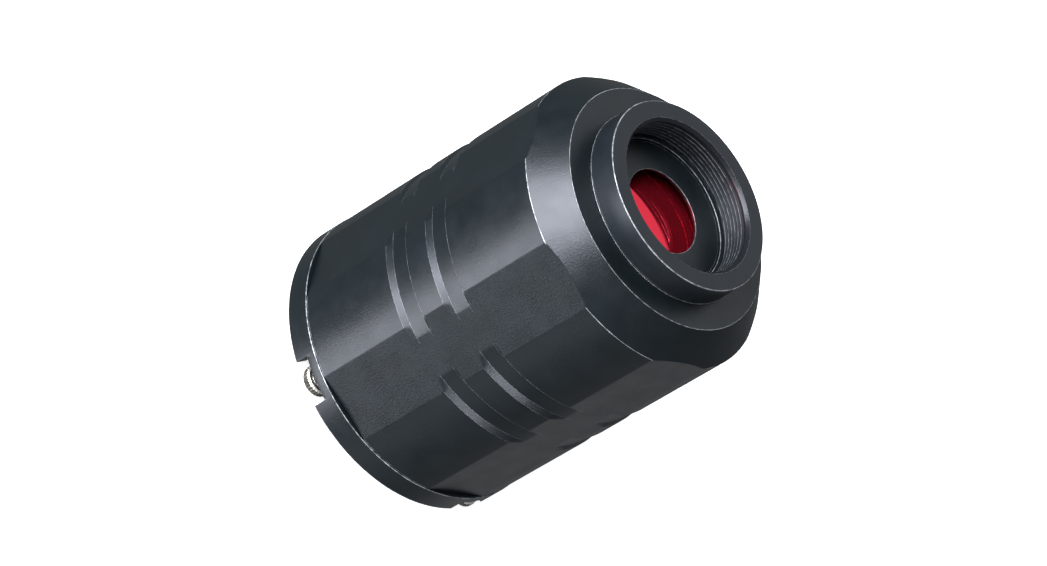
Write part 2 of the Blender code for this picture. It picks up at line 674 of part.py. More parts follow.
def make_cold_finger(finish, parent):
    half = PELTIER_W / 2
    bm = bmesh.new()
    add_box(bm, (-half, -half, FOOT_Z), (half, half, FOOT_Z + FOOT_T))
    finger = place("cold_finger", finish_mesh("cold_finger", bm), finish, parent)
    column = bmesh.new()
    width, depth = FINGER_SIZE
    low = (-width / 2, -depth / 2, FOOT_Z + FOOT_T / 2)
    add_box(column, low, (width / 2, depth / 2, SENSOR_BOARD_TOP))
    boolean(finger, column, "UNION")


def make_chamber_lining(finish, parent):
    liner = washer(LINER_INNER_R, LINER_R, HOT_PLATE_Z, LINER_TOP)
    turned("insulation_liner", liner, SEAL_STEPS, finish["foam"], parent)
    bm = bmesh.new()
    low = (-DESICCANT_W / 2, DESICCANT_Y - DESICCANT_T / 2, DESICCANT_Z)
    add_box(bm, low, (DESICCANT_W / 2, DESICCANT_Y + DESICCANT_T / 2, DESICCANT_TOP))
    edges = list(bm.edges)
    bmesh.ops.bevel(bm, geom=edges, offset=DESICCANT_T * 0.35, segments=2, profile=0.5, affect="EDGES")
    place("desiccant_pack", finish_mesh("desiccant_pack", bm), finish["paper"], parent)
    bm = bmesh.new()
    low = (-RIBBON_W / 2, RIBBON_Y - RIBBON_T / 2, MAIN_BOARD_TOP + GAP)
    add_box(bm, low, (RIBBON_W / 2, RIBBON_Y + RIBBON_T / 2, SENSOR_BOARD_Z - GAP))
    place("sensor_ribbon", finish_mesh("sensor_ribbon", bm), finish["ribbon"], parent)
    seal = washer(SEAL_R - SEAL_W / 2, SEAL_R + SEAL_W / 2, SINK_TOP - SEAL_GROOVE + GAP, SINK_TOP)
    turned("chamber_o_ring", seal, SEAL_STEPS, finish["rubber"], parent)


def make_heatsink(finish, parent):
    groove_in = SEAL_R - SEAL_W / 2 - GAP
    groove_out = SEAL_R + SEAL_W / 2 + GAP
    outline = [
        (0, SINK_BASE),
        (SINK_R, SINK_BASE),
        (SINK_R, SINK_TOP),
        (groove_out, SINK_TOP),
        (groove_out, SINK_TOP - SEAL_GROOVE),
        (groove_in, SINK_TOP - SEAL_GROOVE),
        (groove_in, SINK_TOP),
        (0, SINK_TOP),
    ]
    sink = turned("heatsink", outline, SEAL_STEPS, finish, parent)
    fins = bmesh.new()
    half_y = SINK_FIN_DEPTH / 2
    for index in range(SINK_FIN_COUNT):
        x = (index - (SINK_FIN_COUNT - 1) / 2) * SINK_FIN_PITCH
        low = (x - SINK_FIN_T / 2, -half_y, SINK_FIN_Z)
        add_box(fins, low, (x + SINK_FIN_T / 2, half_y, SINK_BASE + SINK_BASE_T / 2))
    boolean(sink, fins, "UNION")
    holes = bmesh.new()
    for angle in DIAGONALS:
        hole = rod(SCREW_SHANK_R + HOLE, SINK_BASE - GAP, SINK_TOP + GAP)
        add_turned(holes, hole, SMALL_STEPS, polar(SINK_SCREW_CIRCLE, angle))
    slot_x = RIBBON_W / 2 + HOLE
    slot_y = RIBBON_T / 2 + HOLE
    low = (-slot_x, RIBBON_Y - slot_y, SINK_BASE - GAP)
    add_box(holes, low, (slot_x, RIBBON_Y + slot_y, SINK_TOP + GAP))
    boolean(sink, holes)


def make_screws(finish, parent):
    head_z = SINK_BASE - GAP - SCREW_HEAD_H
    outline = [
        (0, head_z),
        (SCREW_HEAD_R, head_z),
        (SCREW_HEAD_R, head_z + SCREW_HEAD_H),
        (SCREW_SHANK_R, head_z + SCREW_HEAD_H),
        (SCREW_SHANK_R, LEDGE_Z + SINK_SCREW_REACH),
        (0, LEDGE_Z + SINK_SCREW_REACH),
    ]
    for number, angle in enumerate(DIAGONALS, 1):
        where = polar(SINK_SCREW_CIRCLE, angle)
        turned(f"heatsink_screw_{number}", outline, SMALL_STEPS, finish, parent, where)
    head_z = SKIRT_H + GAP
    outline = [
        (0, head_z),
        (FAN_HEAD_R, head_z),
        (FAN_HEAD_R, head_z + FAN_HEAD_H),
        (SCREW_SHANK_R, head_z + FAN_HEAD_H),
        (SCREW_SHANK_R, FAN_TOP - FAN_SCREW_SHORT),
        (0, FAN_TOP - FAN_SCREW_SHORT),
    ]
    for number, angle in enumerate(DIAGONALS, 1):
        where = polar(FAN_HOLE_CIRCLE, angle)
        turned(f"fan_screw_{number}", outline, SMALL_STEPS, finish, parent, where)


# ---- fan ----

def make_fan_frame(finish, parent):
    """Square duct with four struts, a motor plate and the tube that holds the bearing."""
    bm = bmesh.new()
    add_prism(bm, rounded_square(FAN_W, FAN_CORNER), FAN_Z, FAN_TOP)
    frame = place("fan_frame", finish_mesh("fan_frame", bm), finish, parent)
    cuts = bmesh.new()
    add_turned(cuts, rod(FAN_BORE_R, FAN_Z - GAP, FAN_TOP + GAP), SEAL_STEPS)
    for angle in DIAGONALS:
        hole = rod(SCREW_SHANK_R + HOLE, FAN_Z - GAP, FAN_TOP + GAP)
        add_turned(cuts, hole, SMALL_STEPS, polar(FAN_HOLE_CIRCLE, angle))
    boolean(frame, cuts)
    tube_z = FAN_Z + BEARING_LIFT
    core = bmesh.new()
    outline = [
        (TUBE_R, tube_z),
        (TUBE_R + TUBE_WALL, tube_z),
        (TUBE_R + TUBE_WALL, MOTOR_Z),
        (HUB_R, MOTOR_Z),
        (HUB_R, FAN_TOP),
        (TUBE_R, FAN_TOP),
    ]
    add_turned(core, outline, KNOB_STEPS)
    boolean(frame, core, "UNION")
    struts = bmesh.new()
    for quarter in range(4):
        low = (HUB_R - 2 * STRUT_ROOT, -STRUT_W / 2, MOTOR_Z + STRUT_T / 16)
        high = (FAN_BORE_R + STRUT_ROOT, STRUT_W / 2, FAN_TOP - STRUT_T / 16)
        add_box(struts, low, high, turn=90 * quarter)
    boolean(frame, struts, "UNION")


def add_blade(bm, start):
    """One twisted blade, from inside the hub's wall to its tip."""
    columns = 4
    low_z = FAN_Z + BLADE_LIFT
    high_z = MOTOR_Z - BLADE_DROP
    radii = (HUB_R - HUB_WALL / 2, (HUB_R + BLADE_R) / 2, BLADE_R)
    sheets = []
    for side in (-1, 1):
        grid = []
        for radius in radii:
            row = []
            for column in range(columns + 1):
                share = column / columns
                angle = start + BLADE_SWEEP * share + side * BLADE_T / 2 / radius
                z = low_z + (high_z - low_z) * share
                row.append(bm.verts.new((radius * math.cos(angle), radius * math.sin(angle), z)))
            grid.append(row)
        sheets.append(grid)
    for grid in sheets:
        for inner, outer in zip(grid, grid[1:]):
            for column in range(columns):
                bm.faces.new([inner[column], inner[column + 1], outer[column + 1], outer[column]])
    front, back = sheets
    rim_front = front[0] + [row[-1] for row in front[1:]] + front[-1][-2::-1]
    rim_front += [row[0] for row in front[-2:0:-1]]
    rim_back = back[0] + [row[-1] for row in back[1:]] + back[-1][-2::-1]
    rim_back += [row[0] for row in back[-2:0:-1]]
    for index in range(len(rim_front)):
        after = (index + 1) % len(rim_front)
        bm.faces.new([rim_front[index], rim_front[after], rim_back[after], rim_back[index]])


def make_fan_rotor(finish, parent):
    """Cup with blades round it, and the shaft that runs in the bearing."""
    cup_low = FAN_Z + CUP_LIFT
    cup_high = MOTOR_Z - CUP_DROP
    floor = cup_low + HUB_WALL
    outline = [
        (0, cup_low),
        (HUB_R, cup_low),
        (HUB_R, cup_high),
        (HUB_R - HUB_WALL, cup_high),
        (HUB_R - HUB_WALL, floor),
        (SHAFT_R, floor),
        (SHAFT_R, FAN_TOP),
        (0, FAN_TOP),
    ]
    rotor = turned("fan_rotor", outline, BORE_STEPS, finish, parent)
    blades = bmesh.new()
    for index in range(BLADE_COUNT):
        add_blade(blades, 2 * math.pi * index / BLADE_COUNT)
    boolean(rotor, blades, "UNION")


def make_fan(finish, parent):
    make_fan_frame(finish["plastic"], parent)
    stator_z = FAN_Z + BEARING_LIFT
    sleeve = washer(SHAFT_R + RUNNING, BEARING_R, stator_z, FAN_TOP)
    turned("fan_bearing", sleeve, SLEEVE_STEPS, finish["brass"], parent)
    stator = washer(TUBE_R + TUBE_WALL + GAP, STATOR_R, stator_z, MOTOR_Z - GAP)
    turned("fan_stator", stator, KNOB_STEPS, finish["winding"], parent)
    make_fan_rotor(finish["plastic"], parent)


def main():
    clear_scene()
    finish = make_materials()
    axis = bpy.data.objects.new("optical_axis", None)
    bpy.context.scene.collection.objects.link(axis)
    make_main_housing(finish["anodised"], axis)
    make_nose_ring(finish["nose"], axis)
    make_window(finish, axis)
    make_rear_cover(finish["anodised"], axis)
    make_thumbscrews(finish["knurled"], axis)
    make_sensor(finish, axis)
    make_peltier(finish, axis)
    make_cold_finger(finish["copper"], axis)
    make_chamber_lining(finish, axis)
    make_heatsink(finish["aluminium"], axis)
    make_screws(finish["steel"], axis)
    make_fan(finish, axis)
    make_main_board(finish, axis)
    make_sockets(finish, axis)


main()
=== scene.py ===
"""Looks of the cooled astronomy camera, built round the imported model.

Metres, +Z along the optical axis, standing on the rim of the rear cover. Outer sizes are read from the
frame, so each piece sits where its solid does.
"""
import json
import math

import bmesh
import bpy
import numpy as np
from mathutils import Matrix, Vector


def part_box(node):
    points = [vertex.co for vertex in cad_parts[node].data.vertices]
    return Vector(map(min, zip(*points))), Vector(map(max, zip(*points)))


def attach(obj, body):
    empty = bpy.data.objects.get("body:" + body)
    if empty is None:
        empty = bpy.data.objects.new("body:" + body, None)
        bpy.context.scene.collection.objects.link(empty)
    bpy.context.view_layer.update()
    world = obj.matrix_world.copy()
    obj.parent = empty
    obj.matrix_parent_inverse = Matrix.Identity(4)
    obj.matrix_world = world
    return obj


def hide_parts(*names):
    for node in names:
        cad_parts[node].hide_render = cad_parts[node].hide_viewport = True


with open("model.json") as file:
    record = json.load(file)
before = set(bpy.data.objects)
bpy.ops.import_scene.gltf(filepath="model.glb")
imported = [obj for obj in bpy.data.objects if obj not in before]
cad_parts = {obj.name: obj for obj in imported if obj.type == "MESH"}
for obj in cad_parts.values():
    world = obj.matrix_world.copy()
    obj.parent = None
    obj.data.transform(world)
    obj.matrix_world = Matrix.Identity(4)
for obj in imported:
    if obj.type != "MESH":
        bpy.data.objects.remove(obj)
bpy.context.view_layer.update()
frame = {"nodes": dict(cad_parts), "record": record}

# Clearances
GAP = 0.0003                 # round what sits in a hole or a bore
HAIRLINE = 0.00005           # between faces that meet
PAST = 0.001                 # how far a cut goes past what it cuts

# Sizes read from the frame
HOUSING_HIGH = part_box("main_housing")[1]
NOSE_LOW, NOSE_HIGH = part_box("nose_ring")
COVER_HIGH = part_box("rear_cover")[1]
GLASS_LOW, GLASS_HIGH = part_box("window_glass")
BARREL_R = HOUSING_HIGH.y
FLAT_DISTANCE = HOUSING_HIGH.x
BARREL_BASE = COVER_HIGH.z + HAIRLINE
FACE_Z = HOUSING_HIGH.z
NOSE_R = NOSE_HIGH.x
NOSE_TOP = NOSE_HIGH.z
COVER_R = COVER_HIGH.x
COVER_H = COVER_HIGH.z

# Barrel
FLAT_COUNT = 6
HALF_SECTOR = 30             # degrees, from the middle of a flat to its edge
ANGLE_STEP = 1.5             # degrees between columns
CONE_H = 0.0081
CONE_INSET = 0.0072
CONE_ROWS = 18
CONE_ROWS_SHARE = 0.22       # of the cone, where the flats run out
SHOULDER_Z = FACE_Z - CONE_H
FACE_R = BARREL_R - CONE_INSET
GROOVE_Z = (0.0375, 0.0522)
GROOVE_W = 0.0073
GROOVE_DEPTH = 0.00073
GROOVE_RAMP = 0.0018
EDGE_BLEND = 0.00005
FLAT_CHAMFER = 0.0002
BAY_WALL = 0.0063
LEDGE_W = 0.0072
BAY_R = BARREL_R - BAY_WALL
CHAMBER_R = BAY_R - LEDGE_W
LEDGE_Z = 0.0524
# Edge rows up to this width get the lighter finish: partly wear, partly a painted highlight.
HOUSING_EDGE_ROW = 0.00011       # widest row that counts as an edge

# Front of the housing, inside the nose
FLOOR_DEPTH = 0.0016
FLOOR_Z = FACE_Z - FLOOR_DEPTH
APERTURE_R = 0.01145
APERTURE_LIP = 0.0009
BOSS_R = 0.0193
WELL_R = 0.0176
SPIGOT_R = 0.0232
SPIGOT_Z = NOSE_LOW.z
SEAT_RISE = 0.0014           # from the top of the glass
FRONT_WALL_H = 0.0050
SEAT_R = GLASS_HIGH.x + GAP
SEAT_Z = GLASS_HIGH.z + SEAT_RISE
FRONT_WALL_Z = SEAT_Z - FRONT_WALL_H

# Nose thread
PITCH = 0.00112
CREST_R = 0.0204
ROOT_R = 0.0210
LEAD_R = 0.0212
THREAD_TURNS = 6
THREAD_START = 174           # degrees, where the thread starts
THREAD_RISE = 0.00068        # from the floor to the start of the thread
THREAD_LOW = FLOOR_Z + THREAD_RISE
CREST_END = 0.14             # shares of the pitch
ROOT_START = 0.50
ROOT_END = 0.64
FLANK = 0.36
THREAD_MARKS = (0.0, CREST_END, 0.32, ROOT_START, ROOT_END, 0.82)
NOSE_COLUMNS = 180
LEDGE_R = 0.0196
NOSE_FOOT = 0.00025          # spread of the nose where it meets the face
# Edge rows up to this width get the lighter finish: partly wear, partly a painted highlight.
NOSE_EDGE_ROW = 0.00009

# Rear cover
SKIRT_H = 0.0043
SKIRT_WALL = 0.0040
NOTCH_W = 0.0122
SPOKE_W = 0.0022
GRILLE_RINGS = ((0.0045, 0.0080), (0.0095, 0.0130), (0.0145, 0.0180))
EXHAUST = (0.02613, 0.02973)
EXHAUST_HALF_ANGLE = 16
NOTCH_REACH = 0.002          # past the skirt on both sides
FAN_SCREW_SINK = 0.0018      # depth of the pocket for a screw's head
COVER_RIM = 0.0004
DIAGONALS = (45, 135, 225, 315)

# Thumbscrews
KNURL_COUNT = 30
KNURL_DEPTH = 0.0002
HEAD_H = 0.0023
HEAD_FOOT_CHAMFER = 0.0004
HEAD_CHAMFER_H = 0.00040
HEAD_CHAMFER_W = 0.00055
THUMB_COLLAR_R = 0.0026
THUMB_SHANK_R = 0.0015
HEX_R = 0.0015               # hexagon socket in the foot, over its corners
HEX_DEPTH = 0.0011

SOFT_EDGE = 0.00012          # bevel on edges

BLUE_SHEEN = (0.85, 0.88, 1.0, 1)

# Surroundings
FLOOR_SIZE = 3.0
FLOOR_DROP = 0.00002         # under the rim, so that the two never flicker
FLOOR_GLOW = 0.85
ROOM_LIGHT = 0.18

# Name, azimuth and elevation in degrees, distance from the aim, width, height and radiance
SOFTBOXES = (
    ("low_left", 215, -38, 1.2, 0.55, 0.80, 7.0),
    ("mid_left", 203, 3, 1.2, 0.60, 0.60, 15.0),
    ("top_left", 193, 41, 1.2, 0.95, 0.75, 16.5),
    ("back", 58, 38, 1.4, 1.20, 1.00, 0.60),
    ("front_low", 275, -36, 1.2, 0.40, 0.40, 0.8),
    ("front_strip", 282, 3, 1.2, 0.60, 0.32, 11.0),
    ("right_low", 2, -38, 1.2, 0.60, 0.60, 0.22),
)

# Camera
AIM = Vector((-0.003178, -0.000345, 0.048096))
DISTANCE = 1.25184
ELEVATION = 37.744           # degrees
AZIMUTH = 58.304
ROLL = math.radians(58.857)
LENS = 170.70


# ---- materials ----

class Surface:
    """A Principled material with its nodes fed by the object's own coordinates."""

    def __init__(self, name, colour, roughness, metallic=0.0):
        self.material = bpy.data.materials.new(name)
        self.material.use_nodes = True
        self.nodes = self.material.node_tree.nodes
        self.links = self.material.node_tree.links
        self.shader = self.nodes["Principled BSDF"]
        self.colour = colour
        self.roughness = roughness
        self.shader.inputs["Base Color"].default_value = (*colour, 1)
        self.shader.inputs["Roughness"].default_value = roughness
        self.shader.inputs["Metallic"].default_value = metallic
        self.shader.inputs["IOR"].default_value = 1.5
        self.place = self.nodes.new("ShaderNodeTexCoord").outputs["Object"]
        self.normal = None

    def noise(self, size, detail=3.0):
        """Noise whose features are about that many metres across."""
        node = self.nodes.new("ShaderNodeTexNoise")
        node.inputs["Scale"].default_value = 1 / size
        node.inputs["Detail"].default_value = detail
        self.links.new(self.place, node.inputs["Vector"])
        return node.outputs["Fac"]

    def span(self, source, low, high, start=0.3, end=0.7):
        node = self.nodes.new("ShaderNodeMapRange")
        node.inputs["From Min"].default_value = start
        node.inputs["From Max"].default_value = end
        node.inputs["To Min"].default_value = low
        node.inputs["To Max"].default_value = high
        self.links.new(source, node.inputs["Value"])
        return node.outputs["Result"]

    def bump(self, source, depth, strength=1.0):
        node = self.nodes.new("ShaderNodeBump")
        node.inputs["Strength"].default_value = strength
        node.inputs["Distance"].default_value = depth
        self.links.new(source, node.inputs["Height"])
        if self.normal:
            self.links.new(self.normal, node.inputs["Normal"])
        self.normal = node.outputs["Normal"]
        self.links.new(self.normal, self.shader.inputs["Normal"])

    def vary_roughness(self, size, amount):
        source = self.span(self.noise(size), self.roughness - amount, self.roughness + amount)
        self.links.new(source, self.shader.inputs["Roughness"])

    def mix(self, factor, first, second):
        node = self.nodes.new("ShaderNodeMix")
        node.data_type = "RGBA"
        self.links.new(factor, node.inputs["Factor"])
        for socket, value in (("A", first), ("B", second)):
            target = [item for item in node.inputs if item.name == socket and item.type == "RGBA"][0]
            if isinstance(value, tuple):
                target.default_value = (*value, 1)
            else:
                self.links.new(value, target)
        return [item for item in node.outputs if item.type == "RGBA"][0]

    def vary_colour(self, size, share):
        """Slow change of tone."""
        low = tuple(value * (1 - share) for value in self.colour)
        high = tuple(value * (1 + share) for value in self.colour)
        tone = self.mix(self.span(self.noise(size), 0, 1), low, high)
        self.links.new(tone, self.shader.inputs["Base Color"])

    def rings(self, pitch):
        """Turning marks round the optical axis."""
        node = self.nodes.new("ShaderNodeTexWave")
        node.wave_type = "RINGS"
        node.rings_direction = "Z"
        node.inputs["Scale"].default_value = 0.314 / pitch
        node.inputs["Distortion"].default_value = 1.2
        node.inputs["Detail"].default_value = 2.0
        self.links.new(self.place, node.inputs["Vector"])
        return node.outputs["Fac"]


def blasted(name, colour, roughness, grain=0.00016, depth=0.000016, metallic=0.0, tint=(1, 1, 1, 1)):
    """Bead-blasted and anodised metal."""
    surface = Surface(name, colour, roughness, metallic)
    surface.vary_colour(0.012, 0.16)
    surface.vary_roughness(0.006, 0.035)
    surface.shader.inputs["Specular Tint"].default_value = tint
    surface.bump(surface.noise(grain, 2.0), depth, 0.7)
    surface.bump(surface.noise(grain * 3, 2.0), depth * 3, 0.6)
    return surface.material


def turned_metal(name, colour, roughness, metallic=0.0, tint=(1, 1, 1, 1)):
    """Lathe-turned metal, with fine rings round the axis."""
    surface = Surface(name, colour, roughness, metallic)
    surface.shader.inputs["Specular Tint"].default_value = tint
    surface.vary_colour(0.010, 0.12)
    surface.vary_roughness(0.005, 0.03)
    surface.bump(surface.rings(0.0004), 0.000003, 0.4)
    surface.bump(surface.noise(0.0003, 2.0), 0.000012, 0.6)
    return surface.material


def plain(name, colour, roughness, metallic=0.0, grain=0.0003, depth=0.00001):
    """Moulded, plated or cast surface with a fine grain."""
    surface = Surface(name, colour, roughness, metallic)
    surface.vary_colour(0.003, 0.12)
    surface.vary_roughness(0.002, 0.05)
    surface.bump(surface.noise(grain, 3.0), depth, 0.5)
    return surface.material


def window_coating():
    """Dichroic coating: a red mirror that lets part of the red light through."""
    surface = Surface("dichroic_window", (0.96, 0.03, 0.07), 0.035, 0.84)
    surface.shader.inputs["Transmission Weight"].default_value = 0.5
    surface.vary_colour(0.006, 0.05)
    surface.bump(surface.noise(0.0015, 2.0), 0.0000015, 0.25)
    return surface.material


def clear_glass():
    surface = Surface("clear_glass", (0.90, 0.97, 0.95), 0.03)
    surface.shader.inputs["Transmission Weight"].default_value = 0.95
    surface.vary_colour(0.004, 0.02)
    return surface.material


def solder_mask():
    """Green mask with the tracks showing under it."""
    surface = Surface("board_green", (0.012, 0.085, 0.035), 0.32)
    cells = surface.nodes.new("ShaderNodeTexVoronoi")
    cells.distance = "MANHATTAN"
    cells.feature = "DISTANCE_TO_EDGE"
    cells.inputs["Scale"].default_value = 700
    surface.links.new(surface.place, cells.inputs["Vector"])
    tracks = surface.span(cells.outputs["Distance"], 1, 0, 0.03, 0.06)
    tone = surface.mix(tracks, surface.colour, (0.03, 0.19, 0.075))
    surface.links.new(tone, surface.shader.inputs["Base Color"])
    surface.bump(tracks, 0.00002, 0.6)
    return surface.material


def worn_and_highlight_edge():
    """Lighter metal for edges: partly anodising rubbed thin so that bare metal shows through in places, partly
    a painted highlight along rounded edges, thread crests and the cover's rim.
    """
    surface = Surface("worn_and_highlight_edge", (0.34, 0.36, 0.39), 0.40, 0.55)
    rubbed = surface.span(surface.noise(0.0015), 0, 1, 0.35, 0.60)
    tone = surface.mix(rubbed, (0.09, 0.10, 0.12), surface.colour)
    surface.links.new(tone, surface.shader.inputs["Base Color"])
    surface.vary_roughness(0.002, 0.06)
    surface.bump(surface.noise(0.0003, 2.0), 0.00001, 0.5)
    return surface.material


def foam():
    surface = Surface("insulation_foam", (0.05, 0.05, 0.055), 0.95)
    cells = surface.nodes.new("ShaderNodeTexVoronoi")
    cells.inputs["Scale"].default_value = 1800
    surface.links.new(surface.place, cells.inputs["Vector"])
    surface.vary_colour(0.002, 0.25)
    surface.bump(cells.outputs["Distance"], 0.0002, 0.8)
    return surface.material


def winding():
    """Enamelled wire, wound round the axis."""
    surface = Surface("stator_winding", (0.45, 0.18, 0.07), 0.35, 0.8)
    surface.vary_colour(0.001, 0.2)
    surface.bump(surface.rings(0.0003), 0.00008, 0.9)
    return surface.material


def make_materials():
    return {
        "anodised": blasted("black_anodised", (0.0032, 0.0056, 0.0070), 0.35, tint=BLUE_SHEEN),
        "nose": turned_metal("black_anodised_nose", (0.0050, 0.0075, 0.0100), 0.42, tint=BLUE_SHEEN),
        "knurled": blasted("black_knurled", (0.062, 0.058, 0.051), 0.44, metallic=0.35),
        "lead_in": turned_metal("black_anodised_lead_in", (0.0060, 0.0075, 0.0095), 0.27, tint=BLUE_SHEEN),
        # Lighter edge finish: partly wear, partly a painted highlight along the edges.
        "worn_and_highlight": worn_and_highlight_edge(),
        "polished": turned_metal("polished_chamfer", (0.93, 0.92, 0.89), 0.42, metallic=0.85),
        "window": window_coating(),
        "clear_glass": clear_glass(),
        "rubber": plain("seal_rubber", (0.018, 0.018, 0.018), 0.65),
        "retainer": turned_metal("retainer_anodised", (0.02, 0.02, 0.022), 0.4),
        "ceramic": plain("peltier_ceramic", (0.82, 0.82, 0.79), 0.55),
        "sensor": plain("sensor_package", (0.17, 0.16, 0.15), 0.45),
        "board": solder_mask(),
        "copper": plain("cold_finger_copper", (0.80, 0.40, 0.25), 0.28, 1.0),
        "foam": foam(),
        "paper": plain("desiccant_paper", (0.82, 0.81, 0.76), 0.9, grain=0.0006, depth=0.00006),
        "ribbon": plain("ribbon_film", (0.55, 0.26, 0.05), 0.35),
        "heatsink": turned_metal("heatsink_aluminium", (0.72, 0.73, 0.75), 0.34, metallic=1.0),
        "steel": plain("screw_steel", (0.50, 0.50, 0.52), 0.30, 1.0),
        "fan_plastic": plain("fan_plastic", (0.014, 0.014, 0.016), 0.42),
        "bronze": plain("bearing_bronze", (0.60, 0.42, 0.18), 0.4, 1.0),
        "winding": winding(),
        "socket_shell": plain("socket_shell", (0.68, 0.68, 0.70), 0.28, 1.0, grain=0.0005),
        "blue_insert": plain("socket_insert", (0.02, 0.10, 0.50), 0.42),
        "black_insert": plain("socket_black", (0.018, 0.018, 0.020), 0.45),
    }


# ---- building blocks ----

def polar(radius, degrees, z=0.0):
    return Vector((radius * math.cos(math.radians(degrees)), radius * math.sin(math.radians(degrees)), z))


def rounded(corners, steps=4):
    """Closed outline of (radius, z, fillet) corners, each fillet turned into an arc."""
    points = []
    count = len(corners)
    for index, (radius, z, fillet) in enumerate(corners):
        here = Vector((radius, z))
        if fillet == 0:
            points.append((radius, z))
            continue
        before = (Vector(corners[index - 1][:2]) - here).normalized()
        after = (Vector(corners[(index + 1) % count][:2]) - here).normalized()
        half = before.angle(after) / 2
        middle = here + (before + after).normalized() * fillet / math.sin(half)
        start = here + before * fillet / math.tan(half) - middle
        turn = start.angle_signed(here + after * fillet / math.tan(half) - middle)
        for step in range(steps + 1):
            angle = -turn * step / steps
            x = start.x * math.cos(angle) - start.y * math.sin(angle)
            y = start.x * math.sin(angle) + start.y * math.cos(angle)
            points.append((middle.x + x, middle.y + y))
    return points


def supported(outline, reach=0.0004):
    """Adds a point near both ends of every long straight run, to keep fillet shading off the flats."""
    points = []
    for index, here in enumerate(outline):
        after = outline[(index + 1) % len(outline)]
        points.append(here)
        run = Vector(after) - Vector(here)
        if run.length > 4 * reach:
            for distance in (reach, run.length - reach):
                points.append(tuple(Vector(here) + run * distance / run.length))
    return points


def show(name, mesh, *finishes):
    piece = bpy.data.objects.new(name, mesh)
    bpy.context.scene.collection.objects.link(piece)
    for finish in finishes:
        mesh.materials.append(finish)
    return piece


def mesh_from(name, points, faces, sharp=35):
    mesh = bpy.data.meshes.new(name)
    mesh.from_pydata([tuple(point) for point in points], [], faces)
    bm = bmesh.new()
    bm.from_mesh(mesh)
    bmesh.ops.recalc_face_normals(bm, faces=bm.faces)
    bm.to_mesh(mesh)
    bm.free()
    mesh.shade_smooth()
    mesh.set_sharp_from_angle(angle=math.radians(sharp))
    return mesh


def ring_faces(rows, columns, closed):
    """Quads between neighbouring rows of points, and flat ends where the rows don't close."""
    index = np.arange(rows * columns).reshape(rows, columns)
    lower = index if closed else index[:-1]
    upper = np.roll(index, -1, axis=0) if closed else index[1:]
    quads = np.stack([lower, np.roll(lower, -1, 1), np.roll(upper, -1, 1), upper], -1)
    faces = quads.reshape(-1, 4).tolist()
    if not closed:
        faces += [index[0][::-1].tolist(), index[-1].tolist()]
    return faces


def turned_mesh(name, outline, angles, closed=True, radius_at=None, sharp=35):
    """Turns (radius, z) points round Z. radius_at changes a radius by its row's place and its angle."""
    profile = np.array(outline)
    radii = np.repeat(profile[:, :1], len(angles), 1)
    heights = np.repeat(profile[:, 1:2], len(angles), 1)
    if radius_at:
        radii = radius_at(radii, heights, angles[None, :])
    points = np.stack([radii * np.cos(angles), radii * np.sin(angles), heights], -1)
    faces = ring_faces(len(profile), len(angles), closed)
    return mesh_from(name, points.reshape(-1, 3), faces, sharp)


def even_angles(count):
    return np.linspace(0, 2 * np.pi, count, endpoint=False)


def wear_and_highlight_edges(piece, outline, columns, widest):
    """Gives the short rows of a turned piece, its rounded edges, the second finish where no flat cuts them:
    lighter metal that is partly wear and partly a painted highlight.
    """
    profile = np.array(outline)
    short = np.linalg.norm(profile - np.roll(profile, -1, 0), axis=1) < widest
    for face in piece.data.polygons:
        row = face.index // columns
        if row >= len(profile) or not short[row]:
            continue
        corner = piece.data.vertices[face.vertices[0]].co
        face.material_index = int(math.hypot(corner.x, corner.y) > profile[row][0] - 0.0001)


def place(piece, body, slot, *nodes):
    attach(piece, body)
    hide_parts(*nodes)
    return piece


def cut(piece, tool_mesh):
    """Takes the tool away from the piece, then throws the tool out."""
    tool = bpy.data.objects.new("tool", tool_mesh)
    bpy.context.scene.collection.objects.link(tool)
    step = piece.modifiers.new("cut", "BOOLEAN")
    step.operation = "DIFFERENCE"
    step.object = tool
    step.solver = "EXACT"
    settle(piece)
    bpy.data.objects.remove(tool)


def settle(piece):
    """Turns a piece's modifiers into its mesh."""
    bpy.context.view_layer.update()
    graph = bpy.context.evaluated_depsgraph_get()
    mesh = bpy.data.meshes.new_from_object(piece.evaluated_get(graph))
    piece.modifiers.clear()
    piece.data = mesh


def soften(piece, width, segments=2, angle=30):
    """Small rounded edges on everything sharper than the angle."""
    bevel = piece.modifiers.new("edges", "BEVEL")
    bevel.width = width
    bevel.segments = segments
    bevel.limit_method = "ANGLE"
    bevel.angle_limit = math.radians(angle)


def add_prism(bm, outline, low, high):
    below = [bm.verts.new((x, y, low)) for x, y in outline]
    above = [bm.verts.new((x, y, high)) for x, y in outline]
    bm.faces.new(below)
    bm.faces.new(above)
    for index in range(len(outline)):
        after = (index + 1) % len(outline)
        bm.faces.new([below[index], below[after], above[after], above[index]])


def add_box(bm, low, high, turn=0):
    middle = (Vector(low) + Vector(high)) / 2
    size = Vector(high) - Vector(low)
    shift = Matrix.Rotation(math.radians(turn), 4, "Z") @ Matrix.Translation(middle)
    bmesh.ops.create_cube(bm, size=1, matrix=shift @ Matrix.Diagonal((*size, 1)))


def tool_from(bm):
    bmesh.ops.recalc_face_normals(bm, faces=bm.faces)
    mesh = bpy.data.meshes.new("tool")
    bm.to_mesh(mesh)
    bm.free()
    return mesh


def arc(radius, start, end, steps):
    angles = np.radians(np.linspace(start, end, steps + 1))
    return [(radius * math.cos(angle), radius * math.sin(angle)) for angle in angles]


# ---- housing ----

